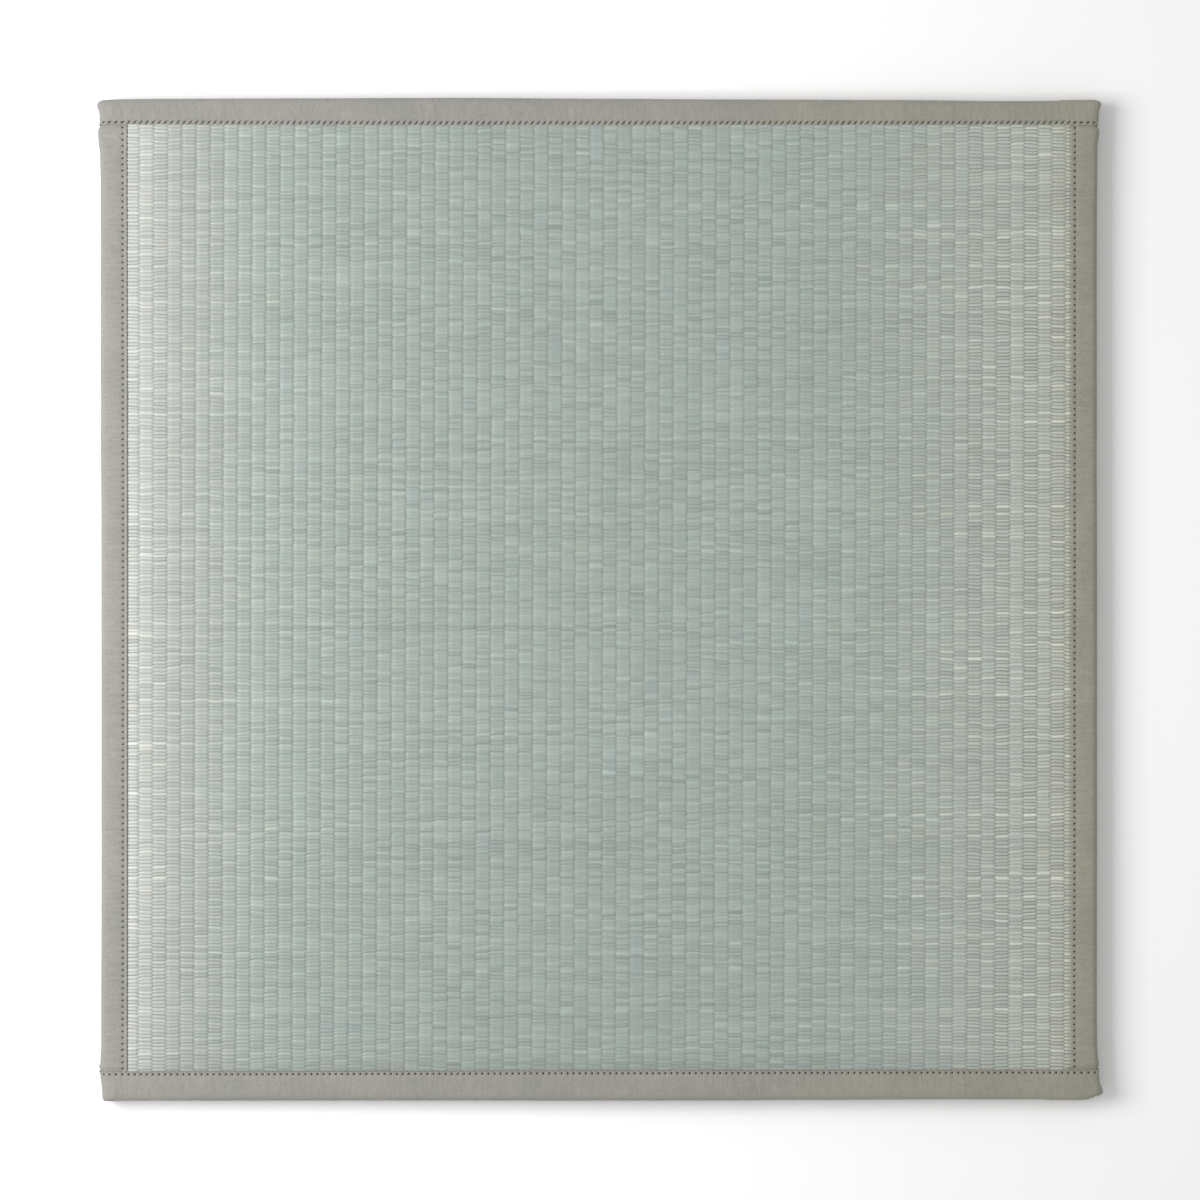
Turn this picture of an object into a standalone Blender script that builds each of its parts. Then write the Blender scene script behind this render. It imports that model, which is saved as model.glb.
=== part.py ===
# Bordered unit tatami mat, lying flat. Metres, +Z up, origin on the floor under the middle of the mat.
# The rush mat is one filled solid with raised ribs. Four border strips are folded over its edges:
# the two side strips first, then the two end strips over their ends and round the corners.
import math

import bmesh
import bpy

MM = 0.001

# Driving sizes of the mat before it settles, in millimetres.
HALF_WIDTH = 408.3
HALF_LENGTH = 410.3
THICKNESS = 24.0
CLOTH = 1.0
GAP = 0.3
LAYER = CLOTH + GAP

# Border strips: width of each on the face, turned-in flange below, and the sewn line.
STRIP_WIDTH = {"left": 21.6, "right": 21.2, "far": 21.1, "near": 23.6}
SEAM_INSET = {"left": 3.9, "right": 2.2, "far": 1.8, "near": 1.9}
SEAM_DIP = 0.45
SEAM_DIP_REACH = 3.0
SIDE_STRIP_SHORT = 4.2
JOGGLE_START = 5.0
JOGGLE_END = 1.0

# Rounding of the folded edges, and the angles at which it has its rows.
EDGE_RADIUS = 4.6
EDGE_ANGLES = (45.0, 22.5, 0.0)

# Ribs of the rush face.
RIB_PITCH = 11.48
GROOVE_COUNT = 67
FIRST_GROOVE = -376.8
RIB_RISE = 0.85
RIB_SHOULDER = 0.17
RIB_LEAN = 0.0012
RUSH_TUCK = 2.0
GROOVES_PER_ROW = 6

# Crown of the filled mat, from the pinch at the strips to the middle.
CROWN = 2.1
CROWN_REACH = 26.0

# Soft fall of the face towards the folded edge, and the swell of the side walls.
EDGE_FALL = {"left": 1.4, "right": 0.8, "far": 0.4, "near": 0.9}
EDGE_FALL_REACH = 13.0
SIDE_SWELL = 0.7
WALL_REACH = 16.0
SEAM_REACH = 70.0

# Unevenness of the outline. Columns: place along the edge, outward shift of the folded edge,
# outward shift of the strip's sewn edge, and how far the cloth alone stands out there.
ALONG, WALL, SEAM, PUFF = range(4)
EDGES = {
    "left": (
        (-410.3, -1.7, -0.2, 0.0),
        (-405.7, -1.3, -0.2, 0.0),
        (-397.0, -0.7, -0.2, 0.0),
        (-388.0, -0.3, -0.2, 0.0),
        (-382.0, 0.0, -0.2, 1.7),
        (-376.0, -0.1, -0.2, 0.9),
        (-366.0, -0.4, -0.2, 0.0),
        (-250.0, -0.6, -0.2, 0.0),
        (-90.0, -0.4, -0.1, 0.0),
        (60.0, -0.2, 0.0, 0.0),
        (200.0, 0.0, 0.3, 0.0),
        (330.0, 0.3, 0.7, 0.0),
        (364.0, 0.3, 0.8, 0.2),
        (376.0, 0.3, 0.8, 1.3),
        (382.0, 0.3, 0.8, 1.7),
        (387.0, 0.1, 0.8, 0.6),
        (391.0, 0.1, 0.8, 0.1),
        (398.0, 0.8, 0.8, 0.6),
        (405.7, 1.4, 0.8, 1.4),
        (410.3, 1.2, 0.8, 1.2),
    ),
    "right": (
        (-410.3, -2.4, 0.3, 0.0),
        (-408.4, -1.8, 0.3, 0.0),
        (-405.7, 0.0, 0.3, 0.4),
        (-402.3, 1.6, 0.3, 2.4),
        (-396.0, 1.0, 0.3, 0.7),
        (-389.0, 0.8, 0.3, 0.4),
        (-380.0, 0.7, 0.3, 0.3),
        (-366.0, 0.1, 0.2, 0.1),
        (-345.0, -0.5, 0.2, 0.0),
        (-200.0, -0.4, 0.2, 0.0),
        (-20.0, -0.3, 0.1, 0.0),
        (140.0, -0.2, 0.0, 0.0),
        (300.0, -0.4, -0.2, 0.0),
        (366.0, -0.1, -0.3, 0.2),
        (378.0, 0.1, -0.3, 1.5),
        (384.0, 0.1, -0.3, 1.2),
        (390.0, 0.3, -0.3, 0.2),
        (398.0, 0.9, -0.3, 0.7),
        (405.7, 1.5, -0.3, 1.4),
        (410.3, 1.2, -0.3, 1.2),
    ),
    "far": (
        (-408.3, -1.6, 0.6, 0.0),
        (-403.7, -1.0, 0.6, 0.0),
        (-390.0, -0.4, 0.5, 0.0),
        (-365.0, 0.1, 0.4, 0.0),
        (-250.0, 0.5, 0.1, 0.0),
        (-120.0, 0.9, -0.2, 0.0),
        (0.0, 0.2, -0.1, 0.0),
        (110.0, -0.4, 0.0, 0.0),
        (240.0, -0.8, 0.1, 0.0),
        (335.0, -1.6, 0.2, 0.0),
        (368.0, -1.0, 0.2, 0.0),
        (388.0, -0.4, 0.2, 0.0),
        (402.0, -0.4, 0.2, 0.0),
        (408.3, -1.0, 0.2, 0.0),
    ),
    "near": (
        (-408.3, -0.2, 0.7, 0.0),
        (-399.0, 0.4, 0.7, 0.0),
        (-384.0, 0.3, 0.7, 0.0),
        (-300.0, 0.3, 0.6, 0.0),
        (-160.0, 0.4, 0.2, 0.0),
        (0.0, 0.1, -0.2, 0.0),
        (150.0, -0.3, -0.6, 0.0),
        (300.0, -0.5, -0.8, 0.0),
        (378.0, -0.8, -0.8, 0.0),
        (392.0, -1.0, -0.8, 0.0),
        (398.6, -1.2, -0.8, 0.0),
        (403.7, -1.9, -0.8, 0.0),
        (408.3, -3.4, -0.8, 0.0),
    ),
}

# Rows of the mesh, as distances inwards from the folded edge or from the strip's sewn edge.
CORNER_ROWS = (8.0, 13.3)
SEWN_ROWS = (12.0, 36.0, 95.0, 230.0)
PUFF_ROW = 2.2
ROUND_OFF = 0.001

COLOURS = {
    "rush": (0.376, 0.424, 0.385, 1.0),
    "binding": (0.345, 0.333, 0.292, 1.0),
}


def smooth(share):
    """Smooth step from 0 to 1."""
    share = min(max(share, 0.0), 1.0)
    return share * share * (3.0 - 2.0 * share)


def look_up(side, column, along):
    """Value of a column of an edge's table at a place along it, eased between the rows."""
    table = EDGES[side]
    if along <= table[0][ALONG]:
        return table[0][column]
    for low, high in zip(table, table[1:]):
        if along <= high[ALONG]:
            share = smooth((along - low[ALONG]) / (high[ALONG] - low[ALONG]))
            return low[column] + share * (high[column] - low[column])
    return table[-1][column]


def edge_shift(side, along, inside, swell, puff):
    """Outward shift of a point that lies `inside` the folded edge."""
    seam_line = STRIP_WIDTH[side]
    by_wall = smooth((seam_line - inside) / WALL_REACH)
    by_seam = smooth(1.0 - (inside - seam_line) / SEAM_REACH) * (1.0 - by_wall)
    by_edge = smooth(1.0 - inside / WALL_REACH)
    shift = look_up(side, WALL, along) * by_wall + look_up(side, SEAM, along) * by_seam
    return shift + (swell + puff * look_up(side, PUFF, along)) * by_edge


def edge_fall(side, inside):
    """Fall of the face towards the folded edge, and its dip along the sewn line."""
    share = max(0.0, 1.0 - inside / EDGE_FALL_REACH)
    sewn_line = STRIP_WIDTH[side] - SEAM_INSET[side]
    dip = max(0.0, 1.0 - abs(inside - sewn_line) / SEAM_DIP_REACH)
    return max(EDGE_FALL[side] * share * share, SEAM_DIP * dip * (2.0 - dip))


def settle(point, puff=0.0):
    """Move a point of the plain mat to where it lies on the real, uneven one."""
    x, y, z = point
    height = min(max(z / THICKNESS, 0.0), 1.0)
    inside = {
        "left": x + HALF_WIDTH,
        "right": HALF_WIDTH - x,
        "far": HALF_LENGTH - y,
        "near": y + HALF_LENGTH,
    }
    swell = SIDE_SWELL * math.sin(math.pi * height)
    along = {"left": y, "right": y, "far": x, "near": x}
    shift = {s: edge_shift(s, along[s], inside[s], swell, puff) for s in inside}
    fall = max(edge_fall(s, inside[s]) for s in inside)
    return (
        (x + shift["right"] - shift["left"] + RIB_LEAN * y) * MM,
        (y + shift["far"] - shift["near"]) * MM,
        (z - fall * height * height) * MM,
    )


def sewn_edge(side):
    """Place of a strip's sewn edge, as a distance from the middle of the mat."""
    half = HALF_WIDTH if side in ("left", "right") else HALF_LENGTH
    return half - STRIP_WIDTH[side]


def joggle(y):
    """Share by which a side strip is pressed in where an end strip lies over it."""
    seam = sewn_edge("far") if y > 0.0 else sewn_edge("near")
    return smooth((abs(y) - (seam - JOGGLE_START)) / (JOGGLE_START - JOGGLE_END))


def beside(x):
    """Share by which a place lies under a side strip."""
    edge = sewn_edge("right") if x > 0.0 else sewn_edge("left")
    return smooth((abs(x) - (edge - GAP - RUSH_TUCK)) / RUSH_TUCK)


def edge_rows(half):
    """Rows in the rounding of a folded edge, from the edge inwards."""
    core = half - EDGE_RADIUS
    return [core + EDGE_RADIUS * math.tan(math.radians(a)) for a in EDGE_ANGLES]


def heights():
    """Rows up the wall."""
    half = THICKNESS / 2.0
    rows = edge_rows(half)
    return sorted([half - r for r in rows] + [half] + [half + r for r in rows])


def grooves():
    """Places of the grooves between the ribs."""
    return [FIRST_GROOVE + RIB_PITCH * i for i in range(GROOVE_COUNT)]


def across_rows(side):
    """Rows of a strip across its width, from the sewn edge to the folded edge."""
    edge = sewn_edge(side)
    half = HALF_WIDTH if side in ("left", "right") else HALF_LENGTH
    sewn_line = edge + SEAM_INSET[side]
    return [edge, sewn_line, *(half - r for r in reversed(CORNER_ROWS)), *reversed(edge_rows(half))]


def rows_along_x():
    """Coarse rows across the mat: both folded edges, the strips' sewn edges and the run."""
    run = grooves()[::GROOVES_PER_ROW] + [grooves()[-1]]
    rows = set(run)
    for side, sign in (("left", -1.0), ("right", 1.0)):
        edge = sewn_edge(side)
        tucks = (edge + RUSH_TUCK, edge - GAP, edge - GAP - RUSH_TUCK)
        rows.update(sign * r for r in edge_rows(HALF_WIDTH))
        rows.update(sign * (HALF_WIDTH - r) for r in CORNER_ROWS)
        rows.update(sign * r for r in tucks)
    return sorted(rows)


def rows_along_y():
    """Rows up the mat, shared by the rush mat and the side strips."""
    rows = {0.0}
    for side, sign in (("near", -1.0), ("far", 1.0)):
        edge = sewn_edge(side)
        rows.update(sign * r for r in edge_rows(HALF_LENGTH))
        rows.update(sign * (HALF_LENGTH - r) for r in CORNER_ROWS)
        rows.update(sign * r for r in (edge + RUSH_TUCK, edge - JOGGLE_END, edge - JOGGLE_START))
        rows.update(sign * (edge - JOGGLE_START - r) for r in SEWN_ROWS)
    return sorted(rows)


def rounded(point, low, high):
    """Centre of rounding and outward direction of a point on the surface of a block."""
    core = [min(max(p, a + EDGE_RADIUS), b - EDGE_RADIUS) for p, a, b in zip(point, low, high)]
    away = [p - c for p, c in zip(point, core)]
    length = math.sqrt(sum(a * a for a in away))
    return core, [a / length for a in away]


def surface_rings(counts, open_sides):
    """Quads of the faces of a block of rows, as keys, leaving out the open sides."""
    rings = []
    for axis in range(3):
        one, two = [a for a in range(3) if a != axis]
        for end in (0, counts[axis] - 1):
            if (axis, end > 0) in open_sides:
                continue
            for i in range(counts[one] - 1):
                for j in range(counts[two] - 1):
                    ring = []
                    for di, dj in ((0, 0), (1, 0), (1, 1), (0, 1)):
                        key = [0, 0, 0]
                        key[axis] = end
                        key[one] = i + di
                        key[two] = j + dj
                        ring.append(tuple(key))
                    rings.append(ring)
    return rings


def add_object(name, bm, colour):
    """Turn a bmesh into a named object with its own material."""
    bmesh.ops.recalc_face_normals(bm, faces=bm.faces)
    bmesh.ops.triangulate(bm, faces=bm.faces)
    mesh = bpy.data.meshes.new(name)
    bm.to_mesh(mesh)
    bm.free()
    obj = bpy.data.objects.new(name, mesh)
    bpy.context.scene.collection.objects.link(obj)
    material = bpy.data.materials.new(name)
    material.use_nodes = True
    shader = material.node_tree.nodes["Principled BSDF"]
    shader.inputs["Base Color"].default_value = COLOURS[colour]
    shader.inputs["Roughness"].default_value = 0.85
    shader.inputs["Metallic"].default_value = 0.0
    mesh.materials.append(material)
    return obj


def add_strip(name, rows, low, high, open_sides, pressed):
    """One border strip: an outer and an inner sheet of cloth joined along the open edges."""
    bm = bmesh.new()
    rings = surface_rings([len(r) for r in rows], open_sides)
    sheets = []
    for depth in (0.0, CLOTH):
        verts = {}
        for key in {k for ring in rings for k in ring}:
            place = [rows[a][key[a]] for a in range(3)]
            core, away = rounded(place, low, high)
            share = joggle(place[1]) if pressed else 0.0
            reach = EDGE_RADIUS - depth - LAYER * share
            point = [c + a * reach for c, a in zip(core, away)]
            verts[key] = bm.verts.new(settle(point, 1.0 - share))
        sheets.append(verts)
    outer, inner = sheets
    uses = {}
    for ring in rings:
        bm.faces.new([outer[k] for k in ring])
        bm.faces.new([inner[k] for k in reversed(ring)])
        for pair in zip(ring, ring[1:] + ring[:1]):
            uses.setdefault(frozenset(pair), []).append(pair)
    for pairs in uses.values():
        if len(pairs) == 1:
            one, two = pairs[0]
            bm.faces.new([outer[one], outer[two], inner[two], inner[one]])
    return add_object(name, bm, "binding")


def add_side_strip(side, sign):
    """Strip over a side edge. Its ends stop short under the end strips."""
    across = sorted(sign * r for r in across_rows(side))
    end = HALF_LENGTH - SIDE_STRIP_SHORT
    along = [y for y in rows_along_y() if abs(y) < end - CLOTH]
    near_puff = JOGGLE_START + PUFF_ROW - sewn_edge("near")
    far_puff = sewn_edge("far") - JOGGLE_START - PUFF_ROW
    rows = (across, sorted([-end, near_puff, far_puff, end] + along), heights())
    far_off = 10.0 * HALF_LENGTH
    low = (-HALF_WIDTH if sign < 0.0 else -far_off, -far_off, 0.0)
    high = (HALF_WIDTH if sign > 0.0 else far_off, far_off, THICKNESS)
    open_sides = {(0, sign < 0.0), (1, False), (1, True)}
    return add_strip("side_strip_" + side, rows, low, high, open_sides, True)


def add_end_strip(side, sign):
    """Strip over an end edge, closed round both corners."""
    across = sorted(sign * r for r in across_rows(side))
    rows = (rows_along_x(), across, heights())
    far_off = 10.0 * HALF_LENGTH
    low = (-HALF_WIDTH, -HALF_LENGTH if sign < 0.0 else -far_off, 0.0)
    high = (HALF_WIDTH, HALF_LENGTH if sign > 0.0 else far_off, THICKNESS)
    return add_strip("end_strip_" + side, rows, low, high, {(1, sign < 0.0)}, False)


def crown(x, y):
    """Rise of the rush face from the strips to the middle of the mat."""
    sides = (
        sewn_edge("right") - x,
        sewn_edge("left") + x,
        sewn_edge("far") - y,
        sewn_edge("near") + y,
    )
    rise = CROWN
    for side in sides:
        rise *= 1.0 - math.exp(-max(side, 0.0) / CROWN_REACH)
    return rise


def under_strips(x, y):
    """Whether a place on the underside is covered by the strips' flanges."""
    return (
        x < -sewn_edge("left") + GAP + ROUND_OFF
        or x > sewn_edge("right") - GAP - ROUND_OFF
        or y > sewn_edge("far") - JOGGLE_END - ROUND_OFF
        or y < -sewn_edge("near") + JOGGLE_END + ROUND_OFF
    )


def mat_point(place, groove):
    """Point of the rush mat for a place on the surface of the block."""
    x, y, z = place
    block = (HALF_WIDTH, HALF_LENGTH, THICKNESS)
    core, away = rounded(place, (-block[0], -block[1], 0.0), block)
    press = LAYER * joggle(y) * beside(x)
    depth = [LAYER + press, LAYER, LAYER + press]
    if z <= 0.0 and not under_strips(x, y):
        depth[2] = 0.0
    point = [c + a * (EDGE_RADIUS - d) for c, a, d in zip(core, away, depth)]
    if z >= THICKNESS:
        point[2] += crown(x, y) - groove * RIB_RISE
    return settle(point)


def add_rush_mat():
    """The filled rush mat: a coarse block with a finely ribbed face let into its top."""
    rows = (rows_along_x(), rows_along_y(), heights())
    counts = [len(r) for r in rows]
    top = counts[2] - 1
    first = rows[0].index(-sewn_edge("left") - RUSH_TUCK)
    last = rows[0].index(sewn_edge("right") + RUSH_TUCK)
    near = rows[1].index(-sewn_edge("near") - RUSH_TUCK)
    far = rows[1].index(sewn_edge("far") + RUSH_TUCK)
    fine = {x: 0.0 for x in rows[0][first:last + 1]}
    for place in grooves():
        fine[place] = 1.0
        fine[place - RIB_PITCH * RIB_SHOULDER] = 0.0
        fine[place + RIB_PITCH * RIB_SHOULDER] = 0.0
    ribs = sorted(fine)

    bm = bmesh.new()
    verts = {}
    for j in range(near, far + 1):
        for x in ribs:
            groove = fine[x] if near < j < far else 0.0
            verts[(x, j)] = bm.verts.new(mat_point((x, rows[1][j], THICKNESS), groove))
    for j in range(near, far):
        for a, b in zip(ribs, ribs[1:]):
            bm.faces.new([verts[(a, j)], verts[(b, j)], verts[(b, j + 1)], verts[(a, j + 1)]])
    for i in range(first, last + 1):
        for j in range(near, far + 1):
            verts[(i, j, top)] = verts[(rows[0][i], j)]

    flat = []
    for ring in surface_rings(counts, set()):
        low_i = min(k[0] for k in ring)
        low_j = min(k[1] for k in ring)
        on_top = min(k[2] for k in ring) == top
        in_ribs = first <= low_i < last
        if on_top and in_ribs and near <= low_j < far:
            continue
        for key in ring:
            if key not in verts:
                place = [rows[a][key[a]] for a in range(3)]
                verts[key] = bm.verts.new(mat_point(place, 0.0))
        if on_top and in_ribs and low_j in (near - 1, far):
            row = near if low_j == near - 1 else far
            other = low_j if low_j == near - 1 else far + 1
            between = [x for x in ribs if rows[0][low_i] <= x <= rows[0][low_i + 1]]
            corners = [verts[(low_i + 1, other, top)], verts[(low_i, other, top)]]
            bm.faces.new([verts[(x, row)] for x in between] + corners)
        else:
            face = bm.faces.new([verts[k] for k in ring])
            if max(abs(v.co.z) for v in face.verts) == 0.0:
                flat.append(face)
    bmesh.ops.dissolve_faces(bm, faces=flat, use_verts=False)
    return add_object("rush_mat", bm, "rush")


for old in list(bpy.data.objects):
    bpy.data.objects.remove(old, do_unlink=True)
add_rush_mat()
add_side_strip("left", -1.0)
add_side_strip("right", 1.0)
add_end_strip("far", 1.0)
add_end_strip("near", -1.0)
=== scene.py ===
"""Bordered tatami mat: woven rush face, filled mat, four sewn strips, and the stage."""
import math

import bpy
import numpy as np
from bpy.props import FloatProperty, FloatVectorProperty, IntProperty, PointerProperty
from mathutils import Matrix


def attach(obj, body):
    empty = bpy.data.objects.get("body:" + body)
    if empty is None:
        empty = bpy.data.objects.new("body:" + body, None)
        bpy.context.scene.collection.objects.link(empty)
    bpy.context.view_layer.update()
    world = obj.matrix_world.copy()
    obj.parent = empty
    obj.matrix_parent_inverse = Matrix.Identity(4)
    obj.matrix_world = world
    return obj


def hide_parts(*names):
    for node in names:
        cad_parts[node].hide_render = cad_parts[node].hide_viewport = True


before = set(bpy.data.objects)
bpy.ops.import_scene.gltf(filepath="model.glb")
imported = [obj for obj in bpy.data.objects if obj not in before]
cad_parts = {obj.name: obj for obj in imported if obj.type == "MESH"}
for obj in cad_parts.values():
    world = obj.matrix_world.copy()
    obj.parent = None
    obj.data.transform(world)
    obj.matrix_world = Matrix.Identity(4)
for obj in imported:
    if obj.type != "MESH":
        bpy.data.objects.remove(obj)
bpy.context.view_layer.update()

bl_info = {
    "name": "Bordered tatami mat",
    "version": (1, 0, 0),
    "blender": (4, 5, 0),
    "location": "3D View > Sidebar > Tatami",
    "description": "Builds a loose-laid tatami mat with its woven rush face and sewn border strips",
    "category": "Add Mesh",
}

MM = 0.001
BODY = "root"

# Unevenness of the outline, in millimetres. Columns: place along the edge, outward shift of the
# folded edge, outward shift of the strip's sewn edge, and how far the cloth stands out there.
ALONG, WALL, SEAM, PUFF = range(4)
EDGES = {
    "left": (
        (-410.3, -2.1, -0.2, 0), (-405.7, -2, -0.2, 0), (-399.4, -1.7, -0.2, 0),
        (-395, -1.1, -0.2, 0), (-391, -0.3, -0.2, 0), (-387, 0.8, -0.2, 0.2),
        (-383, 0.5, -0.2, 1), (-379.5, 0, -0.2, 0.1), (-366, -0.4, -0.2, 0),
        (-250, -0.6, -0.2, 0), (-90, -0.4, -0.1, 0), (60, -0.1, 0, 0), (140, 0.4, 0.2, 0),
        (287, 0.6, 0.6, 0), (340, 0.8, 0.7, 0), (364, 1.1, 0.8, 0.2), (376, 0.7, 0.8, 1.9),
        (382, 0.9, 0.8, 2.1), (387, 2, 0.8, 0.6), (392.7, 1.2, 0.8, 0.2), (398, 0.6, 0.8, 0.5),
        (402.5, 1.2, 0.8, 1), (405.7, 1.7, 0.8, 1.7), (410.3, 1.6, 0.8, 1.5),
    ),
    "right": (
        (-410.3, 0.7, 0.3, 0.5), (-408.9, 1, 0.3, 1.1), (-405.7, 2.3, 0.3, 2.8),
        (-403, 2.2, 0.3, 2.3), (-399.5, 1.8, 0.3, 1.3), (-395.3, 1.5, 0.3, 0.6),
        (-391, 1.6, 0.3, 0.4), (-387, 1.9, 0.3, 0.4), (-380, 1.7, 0.3, 0.3),
        (-374, 1.1, 0.3, 0.1), (-366, 0.6, 0.2, 0.1), (-345, 0.4, 0.2, 0), (-200, 0.4, 0.2, 0),
        (-20, 0.2, 0.1, 0), (140, -0.2, 0, 0), (300, -0.4, -0.2, 0), (373, -0.2, -0.3, 0.3),
        (378, 0.1, -0.3, 0.8), (383, 0.3, -0.3, 1.4), (387, 0.3, -0.3, 0.8),
        (390, 0.4, -0.3, 0.2), (397.6, 0.2, -0.3, 0.2), (402.5, 0.6, -0.3, 0.5),
        (405.7, 1.2, -0.3, 1.3), (408.5, 1.4, -0.3, 1.4), (410.3, 1.2, -0.3, 1.2),
    ),
    "far": (
        (-408.3, -1, 0.6, 0), (-403.7, -0.7, 0.6, 0), (-390, -0.3, 0.5, 0), (-365, 0.1, 0.4, 0),
        (-250, 0.5, 0.1, 0), (-120, 0.9, -0.2, 0), (0, 0.2, -0.1, 0), (110, -0.4, 0, 0),
        (240, -0.8, 0.1, 0), (335, -1.7, 0.2, 0), (374, -1.5, 0.2, 0), (381, -0.9, 0.2, 0),
        (402, -0.7, 0.2, 0), (408.3, -1, 0.2, 0),
    ),
    "near": (
        (-408.3, 2.2, 0.7, 0), (-403.7, 1.3, 0.7, 0), (-397, 1, 0.7, 0), (-384, 0.8, 0.7, 0),
        (-300, 0.7, 0.6, 0), (-160, 0.6, 0.2, 0), (0, 0.7, -0.2, 0), (91, 0.6, -0.4, 0),
        (181, 0.1, -0.6, 0), (272, -0.3, -0.8, 0), (362, -0.4, -0.8, 0), (371, 0.2, -0.8, 0),
        (390, 0.3, -0.8, 0), (397, 0.1, -0.8, 0), (401, -0.4, -0.8, 0), (403.7, -1.3, -0.8, 0),
        (406.9, -2.6, -0.8, 0), (408.3, -1.3, -0.8, 0),
    ),
}

# Each strip: width on the face, sewn line from its edge, fall of the folded edge, slant and
# stretch of the needle holes, how much they pull, how far the hem stands out between them, and
# the rise of the lip inside the sewn line.
STRIP_KEYS = ("width", "sewn", "fall", "slant", "stretch", "pull", "hem", "lip")
STRIPS = {
    "left": dict(zip(STRIP_KEYS, (21.6, 3.3, 2.4, 0.0, 1.0, 1.0, 0.40, 0.45))),
    "right": dict(zip(STRIP_KEYS, (21.2, 2.8, 0.4, 0.0, 1.0, 1.05, 0.15, 0.0))),
    "far": dict(zip(STRIP_KEYS, (21.1, 1.5, 0.4, 1.1, 1.45, 1.0, 0.35, 0.1))),
    "near": dict(zip(STRIP_KEYS, (23.6, 1.9, 0.9, 0.0, 1.0, 1.1, 0.30, 0.0))),
}
SIDES = ("left", "right")
HALF_WIDTH = 408.3
HALF_LENGTH = 410.3
THICKNESS = 24.0
CLOTH = 1.0
GAP = 0.3
LAYER = CLOTH + GAP
EDGE_RADIUS = 4.6
SEAM_DIP = 0.25
SEAM_DIP_REACH = 3.0
EDGE_FALL_REACH = 13.0
SIDE_SWELL = 0.7
WALL_REACH = 16.0
SEAM_REACH = 70.0
SIDE_STRIP_SHORT = 4.2
JOGGLE_START = 3.6
JOGGLE_END = 1.0
RUSH_TUCK = 2.0
CROWN = 2.1
CROWN_REACH = 26.0
RIB_PITCH = 11.48
GROOVE_COUNT = 67
FIRST_GROOVE = -376.8
RIB_LEAN = 0.0012
RUSH_LEAN = 0.0015


def smooth(share):
    """Smooth step from 0 to 1."""
    share = np.clip(share, 0.0, 1.0)
    return share * share * (3.0 - 2.0 * share)


def look_up(side, column, along):
    """Value of a column of an edge's table at places along it, eased between the rows."""
    table = np.array(EDGES[side])
    start = np.clip(np.searchsorted(table[:, ALONG], along) - 1, 0, len(table) - 2)
    low, high = table[start], table[start + 1]
    share = smooth((along - low[..., ALONG]) / (high[..., ALONG] - low[..., ALONG]))
    return low[..., column] + share * (high[..., column] - low[..., column])


def half_size(side):
    """Distance of a side's folded edge from the middle of the mat."""
    return HALF_WIDTH if side in SIDES else HALF_LENGTH


def facing(side):
    """Axis across a strip, and the direction in which it faces."""
    return (0 if side in SIDES else 1), (1.0 if side in ("right", "far") else -1.0)


def sewn_edge(side):
    """Distance of a strip's sewn edge from the middle of the mat."""
    return half_size(side) - STRIPS[side]["width"]


def edge_shift(side, along, inside, swell, puff):
    """Outward shift of points that lie `inside` the folded edge."""
    seam_line = STRIPS[side]["width"]
    by_wall = smooth((seam_line - inside) / WALL_REACH)
    by_seam = smooth(1.0 - (inside - seam_line) / SEAM_REACH) * (1.0 - by_wall)
    by_edge = smooth(1.0 - inside / WALL_REACH)
    shift = look_up(side, WALL, along) * by_wall + look_up(side, SEAM, along) * by_seam
    return shift + (swell + puff * look_up(side, PUFF, along)) * by_edge


def edge_fall(side, inside):
    """Fall of the face towards the folded edge, and its dip along the sewn line."""
    share = np.clip(1.0 - inside / EDGE_FALL_REACH, 0.0, None)
    sewn_line = STRIPS[side]["width"] - STRIPS[side]["sewn"]
    dip = np.clip(1.0 - np.abs(inside - sewn_line) / SEAM_DIP_REACH, 0.0, None)
    return np.maximum(STRIPS[side]["fall"] * share * share, SEAM_DIP * dip * (2.0 - dip))


def settle(points, puff=0.0):
    """Move points of the plain mat, in millimetres, to their real places, in metres."""
    x, y, z = points[:, 0], points[:, 1], points[:, 2]
    height = np.clip(z / THICKNESS, 0.0, 1.0)
    inside = {
        "left": x + HALF_WIDTH,
        "right": HALF_WIDTH - x,
        "far": HALF_LENGTH - y,
        "near": y + HALF_LENGTH,
    }
    swell = SIDE_SWELL * np.sin(np.pi * height)
    along = {"left": y, "right": y, "far": x, "near": x}
    shift = {s: edge_shift(s, along[s], inside[s], swell, puff) for s in inside}
    fall = np.max([edge_fall(s, inside[s]) for s in inside], axis=0)
    settled = np.column_stack((
        x + shift["right"] - shift["left"] + RIB_LEAN * y,
        y + shift["far"] - shift["near"],
        z - fall * height * height,
    ))
    return settled * MM


def joggle(y):
    """Share by which a side strip is pressed in where an end strip lies over it."""
    seam = np.where(y > 0.0, sewn_edge("far"), sewn_edge("near"))
    return smooth((np.abs(y) - (seam - JOGGLE_START)) / (JOGGLE_START - JOGGLE_END))


def beside(x):
    """Share by which a place lies under a side strip."""
    edge = np.where(x > 0.0, sewn_edge("right"), sewn_edge("left"))
    return smooth((np.abs(x) - (edge - GAP - RUSH_TUCK)) / RUSH_TUCK)


def crown(x, y):
    """Rise of the rush face from the strips to the middle of the mat."""
    rise = np.full(np.shape(x), CROWN)
    for inside in (
        sewn_edge("right") - x,
        sewn_edge("left") + x,
        sewn_edge("far") - y,
        sewn_edge("near") + y,
    ):
        rise = rise * (1.0 - np.exp(-np.clip(inside, 0.0, None) / CROWN_REACH))
    return rise


def rounded(points, low, high):
    """Centres of rounding and outward directions of points on the surface of a block."""
    core = np.clip(points, np.array(low) + EDGE_RADIUS, np.array(high) - EDGE_RADIUS)
    away = points - core
    return core, away / np.linalg.norm(away, axis=1)[:, None]


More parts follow.
